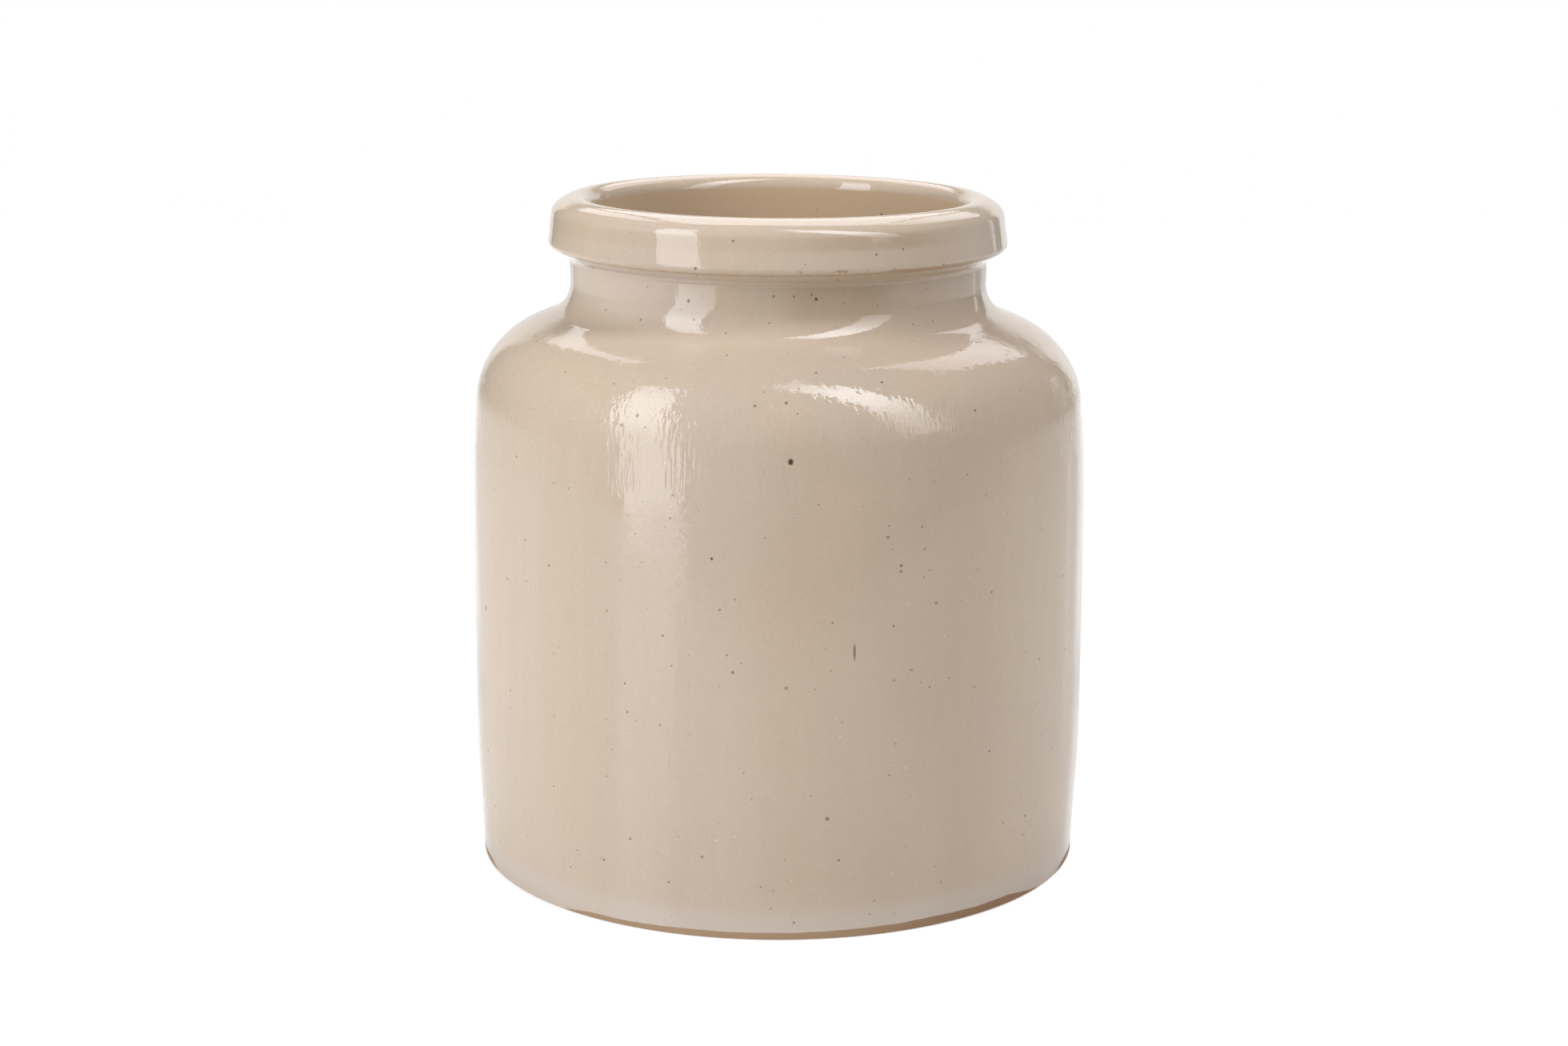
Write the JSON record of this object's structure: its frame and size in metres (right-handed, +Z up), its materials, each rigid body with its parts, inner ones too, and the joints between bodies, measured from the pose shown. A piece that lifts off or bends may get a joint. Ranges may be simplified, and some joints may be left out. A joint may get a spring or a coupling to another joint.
{
  "type": "stoneware jar",
  "caption": "Wide-mouthed stoneware storage jar with straight sides, rounded shoulder, short neck and thick rolled collar, glazed inside and out.",
  "frame": {"origin": "centre of the foot, on the plane that the jar stands on", "axes": "+Z up the jar's axis through the mouth; +X to the right and +Y away, as seen in the picture"},
  "size_m": [0.15, 0.15, 0.1619],
  "materials": {
    "fired_clay": "bare fired stoneware, tan to orange-brown, matt",
    "beige_glaze": "glossy warm beige glaze with fine dark iron specks"
  },
  "bodies": {
    "root": {"clay_body": "fired_clay", "glaze_coat": "beige_glaze"}
  },
  "joints": []
}
